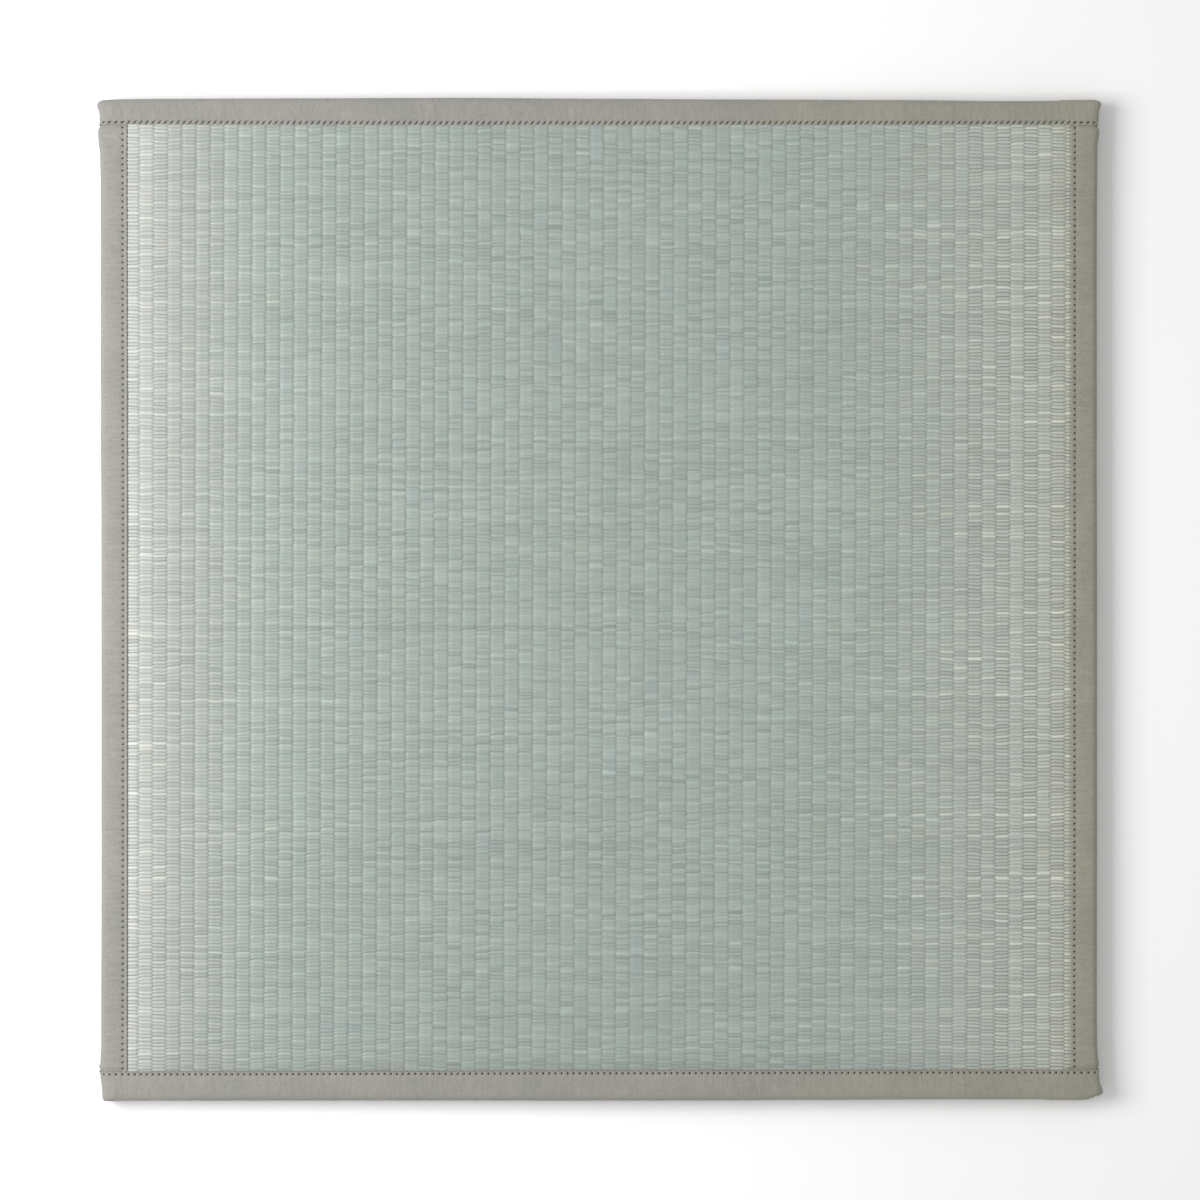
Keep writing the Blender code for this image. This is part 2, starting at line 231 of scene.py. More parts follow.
def edge_rows(half, steps):
    """Rows in the rounding of a folded edge, from its start to the edge."""
    angles = np.linspace(0.0, math.pi / 4.0, steps + 1)
    return half - EDGE_RADIUS + EDGE_RADIUS * np.tan(angles)


def height_rows(steps, wall_rows):
    """Rows up the wall."""
    half = THICKNESS / 2.0
    edge = edge_rows(half, steps)
    wall = np.linspace(half - EDGE_RADIUS, EDGE_RADIUS - half, wall_rows + 2)[1:-1]
    return np.sort(np.concatenate((half + edge, half - edge, half + wall)))


def block_grid(rows, open_sides):
    """Places and quads of the faces of a block of rows, leaving out the open sides."""
    counts = [len(r) for r in rows]
    wanted = np.zeros(counts, bool)
    faces = []
    for axis in range(3):
        for end in (0, counts[axis] - 1):
            if (axis, end > 0) not in open_sides:
                wanted[tuple(end if a == axis else slice(None) for a in range(3))] = True
    index = np.full(counts, -1)
    index[wanted] = np.arange(wanted.sum())
    for axis in range(3):
        for end in (0, counts[axis] - 1):
            if (axis, end > 0) in open_sides:
                continue
            side = index[tuple(end if a == axis else slice(None) for a in range(3))]
            quads = np.stack((side[:-1, :-1], side[1:, :-1], side[1:, 1:], side[:-1, 1:]), -1)
            if (end > 0) == (axis == 1):
                quads = quads[..., ::-1]
            faces.append(quads.reshape(-1, 4))
    keys = np.argwhere(wanted)
    places = np.column_stack([np.asarray(rows[a])[keys[:, a]] for a in range(3)])
    return places, np.concatenate(faces), index


def add_mesh(name, points, faces, material, flags=(), on_faces=()):
    """Mesh object from points in metres and quads, with named values on points or faces."""
    old = bpy.data.objects.get(name)
    if old is not None:
        bpy.data.objects.remove(old, do_unlink=True)
    mesh = bpy.data.meshes.new(name)
    mesh.vertices.add(len(points))
    mesh.vertices.foreach_set("co", np.ascontiguousarray(points, np.float32).ravel())
    mesh.loops.add(faces.size)
    mesh.loops.foreach_set("vertex_index", np.ascontiguousarray(faces, np.int32).ravel())
    mesh.polygons.add(len(faces))
    starts = np.arange(len(faces), dtype=np.int32) * faces.shape[1]
    mesh.polygons.foreach_set("loop_start", starts)
    mesh.polygons.foreach_set("use_smooth", np.ones(len(faces), bool))
    for domain, values in (("POINT", flags), ("FACE", on_faces)):
        for label, data in values:
            layer = mesh.attributes.new(label, "FLOAT", domain)
            layer.data.foreach_set("value", np.ascontiguousarray(data, np.float32).ravel())
    mesh.update(calc_edges=True)
    mesh.materials.append(material)
    obj = bpy.data.objects.new(name, mesh)
    bpy.context.scene.collection.objects.link(obj)
    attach(obj, BODY)
    return obj


def crease(obj, columns, column):
    """Mark the edges along one column of joined grids as sharp."""
    mesh = obj.data
    ends = np.empty(len(mesh.edges) * 2, np.int32)
    mesh.edges.foreach_get("vertices", ends)
    sharp = (ends.reshape(-1, 2) % columns == column).all(axis=1)
    layer = mesh.attributes.new("sharp_edge", "BOOLEAN", "EDGE")
    layer.data.foreach_set("value", sharp)


def unwrap_flat(obj):
    """Flat map of a piece seen from above, so that its finish keeps the weave's straight rows."""
    mesh = obj.data
    places = np.empty(len(mesh.vertices) * 3, np.float32)
    mesh.vertices.foreach_get("co", places)
    places = places.reshape(-1, 3)[:, :2]
    corners = np.empty(len(mesh.loops), np.int32)
    mesh.loops.foreach_get("vertex_index", corners)
    low, high = places.min(0), places.max(0)
    flat = (places - low) / max(high - low)
    layer = mesh.uv_layers.new(name="OFBake")
    layer.data.foreach_set("uv", np.ascontiguousarray(flat[corners], np.float32).ravel())


def ripples(along, across, seed, sizes):
    """Soft uneven waves: a few crossing waves of the given lengths, from -1 to 1."""
    rng = np.random.default_rng(seed)
    total = np.zeros(np.broadcast(along, across).shape)
    for length in sizes:
        angle = rng.uniform(0.0, 2.0 * math.pi, 3)
        lean = rng.uniform(-0.6, 0.6)
        run = (along + lean * across) * 2.0 * math.pi / length
        total = total + np.sin(run + angle[0]) * np.cos(across * 3.0 / length + angle[1])
    return total / len(sizes)


class Nodes:
    """Short way to add and join the nodes of a finish."""

    def __init__(self, name):
        self.material = bpy.data.materials.get(name) or bpy.data.materials.new(name)
        self.material.use_nodes = True
        self.tree = self.material.node_tree
        self.tree.nodes.clear()
        self.shader = self.add("ShaderNodeBsdfPrincipled")
        output = self.add("ShaderNodeOutputMaterial")
        self.join(self.shader.outputs[0], output.inputs[0])

    def add(self, kind, **settings):
        """New node with its settings."""
        node = self.tree.nodes.new(kind)
        for key, value in settings.items():
            setattr(node, key, value)
        return node

    def join(self, source, target):
        """Link a socket, or set a plain value; a colour gets its fourth value here."""
        if isinstance(source, bpy.types.NodeSocket):
            self.tree.links.new(source, target)
        elif target.type == "RGBA":
            target.default_value = (*source, 1.0)
        else:
            target.default_value = source

    def attribute(self, name):
        """Value stored on the mesh."""
        return self.add("ShaderNodeAttribute", attribute_name=name).outputs["Fac"]

    def math(self, operation, *values, clamp=False):
        """One step of arithmetic."""
        node = self.add("ShaderNodeMath", operation=operation, use_clamp=clamp)
        for value, socket in zip(values, node.inputs):
            self.join(value, socket)
        return node.outputs[0]

    def spread(self, value, low, high, to_low=0.0, to_high=1.0):
        """Map a range onto another, held at its ends."""
        node = self.add("ShaderNodeMapRange", interpolation_type="SMOOTHSTEP")
        for source, socket in zip((value, low, high, to_low, to_high), node.inputs):
            self.join(source, socket)
        return node.outputs[0]

    def mix(self, share, one, two, blend="MIX"):
        """Mix two colours."""
        node = self.add("ShaderNodeMix", data_type="RGBA", blend_type=blend)
        self.join(share, node.inputs[0])
        self.join(one, node.inputs[6])
        self.join(two, node.inputs[7])
        return node.outputs[2]

    def darken(self, colour, value):
        """Multiply a colour by a grey value."""
        grey = self.add("ShaderNodeCombineColor")
        for socket in grey.inputs:
            self.join(value, socket)
        return self.mix(1.0, colour, grey.outputs[0], "MULTIPLY")

    def from_middle(self):
        """Place across the mat, in metres."""
        split = self.add("ShaderNodeSeparateXYZ")
        self.join(self.places(), split.inputs[0])
        return split.outputs[0]

    def places(self, scale=(1.0, 1.0, 1.0)):
        """Object's own coordinates, stretched."""
        coords = self.add("ShaderNodeTexCoord").outputs["Object"]
        node = self.add("ShaderNodeMapping")
        self.join(coords, node.inputs["Vector"])
        node.inputs["Scale"].default_value = scale
        return node.outputs[0]

    def noise(self, scale, detail=3.0, stretch=(1.0, 1.0, 1.0)):
        """Cloudy value."""
        node = self.add("ShaderNodeTexNoise")
        self.join(self.places(stretch), node.inputs["Vector"])
        node.inputs["Scale"].default_value = scale
        node.inputs["Detail"].default_value = detail
        return node.outputs["Fac"]

    def bands(self, direction, scale):
        """Threads of a weave running one way."""
        node = self.add("ShaderNodeTexWave", bands_direction=direction)
        self.join(self.places(), node.inputs["Vector"])
        node.inputs["Scale"].default_value = scale
        node.inputs["Distortion"].default_value = 0.4
        return node.outputs["Fac"]

    def bump(self, height, distance, strength=1.0, under=None):
        """Fine relief."""
        node = self.add("ShaderNodeBump")
        node.inputs["Strength"].default_value = strength
        node.inputs["Distance"].default_value = distance
        self.join(height, node.inputs["Height"])
        if under is not None:
            self.join(under, node.inputs["Normal"])
        return node.outputs[0]

    def finish(self, colour, rough, normal, sheen=0.0, specular=0.3):
        """Join colour and relief to the shader."""
        self.join(colour, self.shader.inputs["Base Color"])
        self.join(rough, self.shader.inputs["Roughness"])
        self.join(normal, self.shader.inputs["Normal"])
        self.shader.inputs["Sheen Weight"].default_value = sheen
        self.shader.inputs["Specular IOR Level"].default_value = specular
        return self.material


def scaled(colour, factors):
    """Colour with its channels multiplied, and held at 1."""
    return tuple(min(1.0, channel * factor) for channel, factor in zip(colour, factors))


def tint(name, label, default):
    """Colour property."""
    return FloatVectorProperty(
        name=name, description=label, subtype="COLOR", size=3, min=0.0, max=1.0, default=default
    )


def length(name, label, default):
    """Length property in metres."""
    return FloatProperty(
        name=name, description=label, default=default, min=0.0, unit="LENGTH", precision=5
    )


class TatamiWeave(bpy.types.PropertyGroup):
    """Sizes of the woven rush face."""

    rush_pitch: length("Rush pitch", "Distance between rushes seen in one rib", 0.0029)
    rush_depth: length("Rush depth", "Depth of the valley between two rushes", 0.0005)
    dive: length("Dive", "How far the rushes go down into the groove between ribs", 0.0005)
    shoulder: length("Shoulder", "Width over which a rush goes down into the groove", 0.0014)
    tuck: length("Tuck", "How far a rush end slips under the next rib", 0.0002)
    stagger: length("Stagger", "Wander of the rush rows from rib to rib", 0.00045)
    bend: FloatProperty(
        name="Bend", description="Bend of the rush ends, in pitches", default=0.25, min=0.0, max=0.5
    )
    seed: IntProperty(name="Seed", description="Choice of uneven rushes", default=7)


class TatamiSewing(bpy.types.PropertyGroup):
    """Sizes of the sewing."""

    pitch: length("Stitch length", "Distance between needle holes", 0.005)
    thread: length("Thread radius", "Radius of the sewing thread", 0.00026)
    rise: length("Thread rise", "How high the thread stands on the cloth", 0.00006)
    hole: length("Hole depth", "How deep the cloth is pulled in at a needle hole", 0.0009)
    hole_radius: length("Hole radius", "Radius of the pulled-in place", 0.00092)


class TatamiColours(bpy.types.PropertyGroup):
    """Colours of the finishes."""

    rush: tint("Rush", "Most of the rushes", (0.300, 0.345, 0.312))
    rush_blue: tint("Blue rush", "Cooler rushes", (0.262, 0.325, 0.302))
    rush_light: tint("Light rush", "Paler rushes", (0.385, 0.425, 0.372))
    rush_straw: tint("Straw rush", "Ripe, cream rushes", (0.500, 0.485, 0.375))
    rush_grey: tint("Grey rush", "Pinkish grey rushes", (0.330, 0.325, 0.305))
    rush_brown: tint("Brown rush", "Few dry, brown rushes", (0.190, 0.185, 0.150))
    # These two pale the rushes towards the margins: partly their own paler tips and feet, partly
    # painted sheen.
    rush_tips_and_sheen: tint("Rush tips", "Paler end of the rushes, on the left", (0.560, 0.532, 0.512))
    rush_feet_and_sheen: tint("Rush feet", "Drier end of the rushes, on the right", (0.500, 0.514, 0.456))
    valley: tint("Valley", "Shade between the rushes", (0.120, 0.140, 0.118))
    binding: tint("Binding", "Border strips", (0.286, 0.277, 0.249))
    # Painted shade inside the needle holes.
    hole: tint("Needle hole", "Inside the needle holes", (0.045, 0.040, 0.034))
    thread: tint("Thread", "Sewing thread", (0.350, 0.338, 0.300))
    floor: tint("Floor", "Plain pale floor", (0.96, 0.96, 0.96))


class TatamiStage(bpy.types.PropertyGroup):
    """Camera and light."""

    distance: length("Camera height", "Height of the camera over the floor", 3.2)
    pixel: length("Pixel", "Size of one of 1200 pixels on the mat", 0.00082)
    middle_x: FloatProperty(name="Middle X", description="Mat's middle, in pixels", default=598.9)
    middle_y: FloatProperty(name="Middle Y", description="Mat's middle, in pixels", default=599.4)
    key: FloatProperty(name="Key light", description="Power of the left light", default=33.0)
    fill: FloatProperty(name="Fill light", description="Strength of even light", default=0.57)


class TatamiRushFace(bpy.types.Operator):
    """Weave the rush face, in panels of whole ribs"""

    bl_idname = "tatami.rush_face"
    bl_label = "Rush face"

    def execute(self, context):
        weave = context.scene.tatami_weave
        material = rush_material(context.scene.tatami_colours)
        ribs = rib_edges()
        span = (sewn_edge("far") + sewn_edge("near") + 2.0 * RUSH_TUCK) * MM
        rushes = Rushes(int(span / weave.rush_pitch) + 1, weave.seed)
        share = math.ceil(len(ribs) / len(PANELS))
        for number, name in enumerate(PANELS):
            some = list(enumerate(ribs))[number * share:(number + 1) * share]
            points, faces, flags, on_faces = weave_ribs(weave, some, rushes)
            panel = add_mesh(name, points, faces, material, flags, on_faces)
            crease(panel, RIB_COLUMNS, CREASED_COLUMN)
            unwrap_flat(panel)
            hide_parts("rush_mat")
        return {"FINISHED"}


PANELS = ("rush_face_left", "rush_face_mid_left", "rush_face_mid_right", "rush_face_right")
RUSH_STEPS = (0.0, 0.27, 0.70)
RUSH_ROUND = (0.0, 1.0, 0.88)
BEDDING = 1.3
RISE_AT_STRIPS = 0.95
RISE_START = 0.7
RISE_REACH = 1.6
# Columns: place across a rib in shoulders from its left or right edge, height in millimetres,
# share of the dive into the groove, share of the bend of the rush ends.
RIB_LEFT = ((0.45, -0.05, 0.80, 0.7), (1.5, 0.02, 0.0, 0.15))
RIB_FLAT = 3.9
RIB_RIGHT = ((1.25, 0.00, 0.0, 0.15), (0.30, -0.05, 0.60, 0.7))
RIB_COLUMNS = 7
CREASED_COLUMN = 4
# Columns: place across the mat, how round and distinct the rushes are there, how uneven their
# tone, and how deep the grooves between the ribs.
# How distinct the rushes are also sets the painted shade of their valleys and their painted
# highlights.
DISTINCT = (
    (-388.7, 1.45, 1.65, 0.95), (-330, 1.2, 1.5, 0.95), (-250, 0.92, 1.45, 0.95),
    (-120, 0.58, 1.35, 0.8), (0, 0.4, 1.35, 0.7), (110, 0.52, 1.4, 0.7), (220, 0.9, 1.45, 0.8),
    (300, 1.4, 1.6, 0.9), (388.7, 1.95, 1.75, 1),
)
# Columns: place across the mat, painted light and shade on the rushes there, brightest towards the
# margins.
PAINTED_LIGHT_ACROSS = (
    (-383, 1.19), (-364, 1.11), (-350, 0.97), (-330, 0.98), (-270, 1.04), (-190, 1), (-40, 1),
    (40, 1.02), (120, 1.07), (190, 1.115), (300, 1.11), (362, 1.13), (384, 1.085),
)
# Painted shade on the first rows of rushes by the near strip, where the face turns down away from
# the light.
NEAR_PAINTED_SHADE = (0.87, 0.88, 0.90, 0.94, 0.97)
# Columns: place of a groove, how far it lies off the even spacing.
GROOVE_SHIFTS = (
    (-206, 0), (-102, 1), (-33, 1.6), (20, 0.8), (105, 1.4), (175, 1.05), (243, 1.9), (347, 1.5),
    (381, 0.8),
)
CRISP = 0.25
BLOCK_CHANCE = 0.30
PARITY_SHARE = 0.22
# Painted highlights: rushes whose tone runs high are brightened, more where the rushes are more
# distinct.
SHEEN_TONE = 1.55
SHEEN_LEFT, SHEEN_RIGHT = 0.8, 1.0
SHEEN_LEAST = 0.25
SHEEN_GAIN = (0.03, 0.12)
TONE_RANGE = (0.80, 1.42)
CREAM_DISTINCT = 1.1
LOOSE_BELOW = 1.35
LOOSE_LEAST = 0.25
TONE_KEPT, TONE_OWN = 0.026, 0.024
BLOCK_TONE, BLOCK_TONE_LOOSE = 0.012, 0.008
BLOCK_TINT = 0.16
CREAM_TONE = 1.95
CREAM = 0.963
YELLOW_FAR_ROW = -300.0
KEEP_KIND = 0.94
KEEP_TONE = 0.90
KEEP_GAP = 0.60
OWN_SEED, WANDER_SEED, BEND_SEED, SWAY_SEED = 1000, 2000, 3000, 4000
WANDERS = (23.0, 47.0, 90.0)
OWN_WANDERS = (19.0, 44.0, 95.0)
BENDS = (27.0, 45.0, 83.0)
SWAYS = (13.0, 37.0, 80.0)


def rib_edges():
    """Left and right edge of each rib of the face."""
    even = FIRST_GROOVE + RIB_PITCH * np.arange(GROOVE_COUNT)
    lines = list(even + by_place(even, GROOVE_SHIFTS, 1))
    lines = [-sewn_edge("left") - RUSH_TUCK] + lines + [sewn_edge("right") + RUSH_TUCK]
    return list(zip(lines, lines[1:]))


def rib_level(x, y):
    """Height of the ribs' shoulders before the mat settles."""
    press = LAYER * joggle(y) * beside(x)
    inside = np.min(np.broadcast_arrays(
        sewn_edge("left") + x,
        sewn_edge("right") - x,
        sewn_edge("far") - y,
        sewn_edge("near") + y,
    ), axis=0)
    rise = RISE_AT_STRIPS * smooth((inside + RISE_START) / RISE_REACH)
    return THICKNESS - LAYER - press + rise + (1.0 - RISE_AT_STRIPS / CROWN) * crown(x, y)


def by_place(x, table, column):
    """Value of a column of a table at a place across the mat."""
    rows = np.array(table)
    return np.interp(x, rows[:, 0], rows[:, column])


def crisp(values):
    """Uneven values with more change from each to the next."""
    return values - CRISP * (np.roll(values, 1) + np.roll(values, -1))


def even_out(values):
    """Turn normal values into even ones from 0 to 1."""
    return 1.0 / (1.0 + np.exp(-1.702 * values))


class Rushes:
    """Tones of the rushes, followed from rib to rib: each rush shows in every second one."""

    def __init__(self, count, seed):
        self.rng = np.random.default_rng(seed)
        self.count = count
        self.kinds, self.tones, self.gaps = self.rng.normal(0.0, 1.0, (3, 2, count + 1))
        self.widths = self.rng.normal(0.0, 0.09, (2, count + 1))
        self.lifts = self.rng.normal(0.0, 0.10, (2, count))

    def follow(self, states, parity, keep):
        """Change a value a little from one showing of the rushes to the next."""
        fresh = self.rng.normal(0.0, math.sqrt(1.0 - keep * keep), self.count + 1)
        states[parity] = keep * states[parity] + fresh
        return states[parity]

    def rib(self, number, x, own):
        """Kind, tone with its painted light and shade, and tint of the rushes of one rib, and the
        depth of the valleys.
        """
        parity = number % 2
        kinds = self.follow(self.kinds, parity, KEEP_KIND)[:-1]
        tones = self.follow(self.tones, parity, KEEP_TONE)[:-1]
        gaps = even_out(self.follow(self.gaps, parity, KEEP_GAP))
        distinct, uneven = by_place(x, DISTINCT, 1), by_place(x, DISTINCT, 2)
        distinct *= 1.0 + PARITY_SHARE * (0.5 - parity) + own.normal(0.0, 0.06)
        starts = gaps > 1.0 - BLOCK_CHANCE
        block = np.cumsum(starts)[:-1]
        block_tone = own.normal(0.0, 1.0, block[-1] + 1)[block]
        block_tint = own.normal(0.0, 1.0, block[-1] + 1)[block]
        loose = np.clip(LOOSE_BELOW - distinct, LOOSE_LEAST, 1.0)
        plain = 1.05 + loose * (own.uniform(-0.5, 0.1, self.count + 1) - 0.45 * gaps)
        valley = np.where(starts, 1.05 + 1.8 * loose * loose, plain) * distinct
        kind = even_out(kinds)
        straw = 0.006 + 0.035 * max(0.0, distinct - 0.9)
        kind = np.where(kind > 1.0 - straw, 1.0, kind * 0.95 / (1.0 - straw))
        blocks = BLOCK_TONE + BLOCK_TONE_LOOSE * loose
        fresh = crisp(own.normal(0.0, 1.0, self.count))
        tone = 1.0 + uneven * (TONE_KEPT * crisp(tones) + TONE_OWN * fresh) + blocks * block_tone
        # Painted highlight of the glossy rushes: those whose tone runs high are brightened, most
        # towards the margins.
        sheen_gain = max(SHEEN_LEAST, (SHEEN_LEFT if x < 0.0 else SHEEN_RIGHT) * (distinct - 0.5))
        pale = (tones > SHEEN_TONE) * sheen_gain
        tone = np.clip(tone + pale * own.uniform(*SHEEN_GAIN, self.count), *TONE_RANGE)
        cream = (tones > CREAM_TONE) & (distinct > CREAM_DISTINCT)
        kind = np.where(cream, np.maximum(kind, CREAM), kind)
        # Painted light and shade: the rushes are brightened or darkened by their place across the
        # mat.
        tone = tone * by_place(x, PAINTED_LIGHT_ACROSS, 1)
        # Painted shade on the rows next to the near strip.
        tone[:len(NEAR_PAINTED_SHADE)] *= NEAR_PAINTED_SHADE
        if x < YELLOW_FAR_ROW:
            kind[-1 - parity:] = 1.0
        return kind, tone, 0.5 + BLOCK_TINT * block_tint, valley


def weave_ribs(weave, ribs, rushes):
    """Grids of rounded rushes, one for each rib, every second rib half a pitch on."""
    pitch = weave.rush_pitch / MM
    low = -sewn_edge("near") - RUSH_TUCK
    high = sewn_edge("far") + RUSH_TUCK
    count = rushes.count
    tuck, shoulder = weave.tuck / MM, weave.shoulder / MM
    across_table = np.array(((0.0, 0.0, 1.0, 1.0), *RIB_LEFT, (0.0, 0.02, 0.0, 0.0), *RIB_RIGHT,
                             (0.0, 0.0, 1.0, 1.0)))
    points, faces, start = [], [], 0
    values = {"valley": [], "groove": [], "kind": [], "tone": [], "tint": []}
    steps = len(RUSH_STEPS)
    for number, (left, right) in ribs:
        own = np.random.default_rng(weave.seed + OWN_SEED + number)
        parity = number % 2
        kind, tone, tint_value, depth = rushes.rib(number, (left + right) / 2.0, own)
        line = np.arange(count + 1) + 0.5 * parity - 0.25 + rushes.widths[parity]
        line = line + own.normal(0.0, 0.05, count + 1)
        rows = line[:-1, None] + np.array(RUSH_STEPS) * np.diff(line)[:, None]
        y = low + pitch * np.append(rows.ravel(), line[-1])
        round_up = np.append(np.tile(RUSH_ROUND, count), 0.0)
        lift = np.repeat(rushes.lifts[parity] + own.normal(0.0, 0.05, count), steps)
        lift = np.append(lift, 0.0) * round_up
        deep = np.append(np.repeat(depth[:-1], steps), depth[-1])
        x = np.array((
            left - tuck,
            *(left + shoulder * row[0] for row in RIB_LEFT),
            left + RIB_FLAT,
            *(right - shoulder * row[0] for row in RIB_RIGHT),
            right + tuck,
        ))
        across, up = np.meshgrid(x, y)
        down = across_table[:, 2]
        seed = weave.seed + number
        bend = np.column_stack([
            (2 * side - 1) * np.tanh(3.0 * ripples(y, 0.0, seed + BEND_SEED + side, BENDS))
            for side in (0, 1)
        ])
        bend = np.repeat(bend, (4, 3), axis=1) * across_table[:, 3] * pitch * weave.bend
        wander = ripples(across, up, weave.seed + 31, WANDERS)
        own_wander = ripples(up, 0.0, seed + WANDER_SEED, OWN_WANDERS)
        moved = up + (1.4 * wander + 0.45 * own_wander) * weave.stagger / MM + bend
        sway = [ripples(up, 0.0, seed + SWAY_SEED + side, SWAYS) for side in (0, 1)]
        sway_share = np.linspace(0.0, 1.0, len(x))
        jag = np.append(np.repeat(own.normal(0.0, 0.12, count), steps), 0.0)
        shift = (1.0 - sway_share) * sway[0] + sway_share * sway[1]
        across = across + 0.25 * shift + jag[:, None] * (1.0 - down) * (across_table[:, 3] > 0.0)
        across = across + RUSH_LEAN * up
        level = rib_level(across, np.clip(moved, low, high))
        rush = (round_up - 1.0) * deep * weave.rush_depth / MM + lift
        dives = np.append(np.repeat(own.uniform(0.75, 1.25, count), steps), 1.0)
        groove = by_place((left + right) / 2.0, DISTINCT, 3)
        height = level + rush[:, None] * (1.0 - 0.5 * down) + groove * across_table[:, 1]
        height = height - groove * dives[:, None] * down * weave.dive / MM
        places = np.stack((across, moved, height), -1).reshape(-1, 3)
        points.append(settle(places))
        index = start + np.arange(len(y) * len(x)).reshape(len(y), len(x))
        quads = np.stack((index[:-1, :-1], index[:-1, 1:], index[1:, 1:], index[1:, :-1]), -1)
        faces.append(quads.reshape(-1, 4))
        start += index.size
        valley = np.broadcast_to(((1.0 - round_up) * deep)[:, None], across.shape)
        values["valley"].append(valley.ravel())
        values["groove"].append(np.broadcast_to(down, across.shape).ravel())
        for label, data in (("kind", kind), ("tone", tone), ("tint", tint_value)):
            values[label].append(np.repeat(data, (len(x) - 1) * steps))
    values = {label: np.concatenate(data) for label, data in values.items()}
    flags = [(label, values[label]) for label in ("valley", "groove")]
    on_faces = [(label, values[label]) for label in ("kind", "tone", "tint")]
    return np.concatenate(points), np.concatenate(faces), flags, on_faces


def rush_material(colours):
    """Rushes of several ripenesses, paler towards their ends partly by painted sheen, with long
    fibres and painted shade between them.
    """
    n = Nodes("woven_rush")
    ramp = n.add("ShaderNodeValToRGB")
    stops = (
        (0.00, colours.rush_brown),
        (0.012, colours.rush_grey),
        (0.12, colours.rush_grey),
        (0.20, colours.rush_blue),
        (0.40, colours.rush_blue),
        (0.52, colours.rush),
        (0.76, colours.rush),
        (0.86, colours.rush_light),
        (0.955, colours.rush_light),
        (0.97, colours.rush_straw),
    )
    while len(ramp.color_ramp.elements) < len(stops):
        ramp.color_ramp.elements.new(0.5)
    for element, (place, colour) in zip(ramp.color_ramp.elements, stops):
        element.position = place
        element.color = (*colour, 1.0)
    n.join(n.attribute("kind"), ramp.inputs[0])
    x = n.from_middle()
    from_left = n.spread(x, -0.388, -0.250, 1.0, 0.0)
    from_right = n.spread(x, 0.170, 0.400, 0.0, 1.0)
    # The rushes differ more in colour towards the margins: partly their own paler ends, partly
    # painted sheen.
    kind_share_and_sheen = n.math("MULTIPLY_ADD", from_right, 0.36, 0.18)
    kind_share_and_sheen = n.math("MULTIPLY_ADD", from_left, 0.22, kind_share_and_sheen)
    colour = n.mix(kind_share_and_sheen, colours.rush, ramp.outputs[0])
    hue = n.mix(n.attribute("tint"), (0.98, 1.0, 1.035), (1.012, 1.0, 0.97))
    colour = n.mix(1.0, colour, hue, "MULTIPLY")
    # Paler rushes towards both margins: partly their paler tips and feet, partly painted sheen.
    colour = n.mix(n.math("MULTIPLY", from_left, 0.38), colour, colours.rush_tips_and_sheen)
    colour = n.mix(n.math("MULTIPLY", from_right, 0.62), colour, colours.rush_feet_and_sheen)
    colour = n.mix(n.spread(x, 0.345, 0.392, 0.0, 0.30), colour, colours.rush_straw)
    cloud = n.math("MULTIPLY_ADD", n.noise(9.0, 2.0, (1.0, 4.0, 1.0)), 0.12, 0.94)
    fibre = n.noise(900.0, 2.0, (0.07, 1.0, 1.0))
    speck = n.noise(620.0, 1.0)
    streak = n.math("MULTIPLY_ADD", fibre, 0.22, 0.89)
    streak = n.math("MULTIPLY", streak, n.math("MULTIPLY_ADD", speck, 0.14, 0.93))
    value = n.math("MULTIPLY", n.attribute("tone"), n.math("MULTIPLY", cloud, streak))
    colour = n.darken(colour, value)
    # Painted shade in the valleys between rushes, a little stronger on the left, and in the grooves
    # between the ribs.
    valley_shade_share = n.math("MULTIPLY_ADD", from_left, 0.10, 0.38)
    valley_shade = n.math("MULTIPLY", n.attribute("valley"), valley_shade_share, clamp=True)
    groove_shade = n.spread(n.attribute("groove"), 0.0, 1.0, 0.0, 0.19)
    low = n.math("ADD", valley_shade, groove_shade, clamp=True)
    deep = n.mix(0.75, colour, colours.valley)
    colour = n.mix(low, colour, deep)
    return n.finish(colour, 0.47, n.bump(fibre, 0.00012, 0.6), specular=0.5)


class TatamiFilling(bpy.types.Operator):
    """Build the filled mat under the rush face and strips"""

    bl_idname = "tatami.filling"
    bl_label = "Filled mat"

    def execute(self, context):
        material = underside_material(context.scene.tatami_colours)
        rows_x = filling_rows("left", "right", 14)
        rows_y = filling_rows("near", "far", 14)
        places, faces, _ = block_grid((rows_x, rows_y, height_rows(3, 2)), set())
        block = np.array((HALF_WIDTH, HALF_LENGTH, THICKNESS))
        core, away = rounded(places, (-HALF_WIDTH, -HALF_LENGTH, 0.0), block)
        x, y, z = places[:, 0], places[:, 1], places[:, 2]
        press = LAYER * joggle(y) * beside(x)
        depth = np.column_stack((LAYER + press, np.full(len(x), LAYER), LAYER + press))
        covered = (
            (x < GAP * 2.0 - sewn_edge("left"))
            | (x > sewn_edge("right") - GAP * 2.0)
            | (y > sewn_edge("far") - JOGGLE_END - GAP)
            | (y < JOGGLE_END + GAP - sewn_edge("near"))
        )
        depth[(z <= 0.0) & ~covered, 2] = 0.0
        points = core + away * (EDGE_RADIUS - depth)
        top = z >= THICKNESS
        points[top, 2] += (crown(x, y) - BEDDING)[top]
        filling = add_mesh("mat_filling", settle(points), faces, material)
        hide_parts("rush_mat")
        return {"FINISHED"}


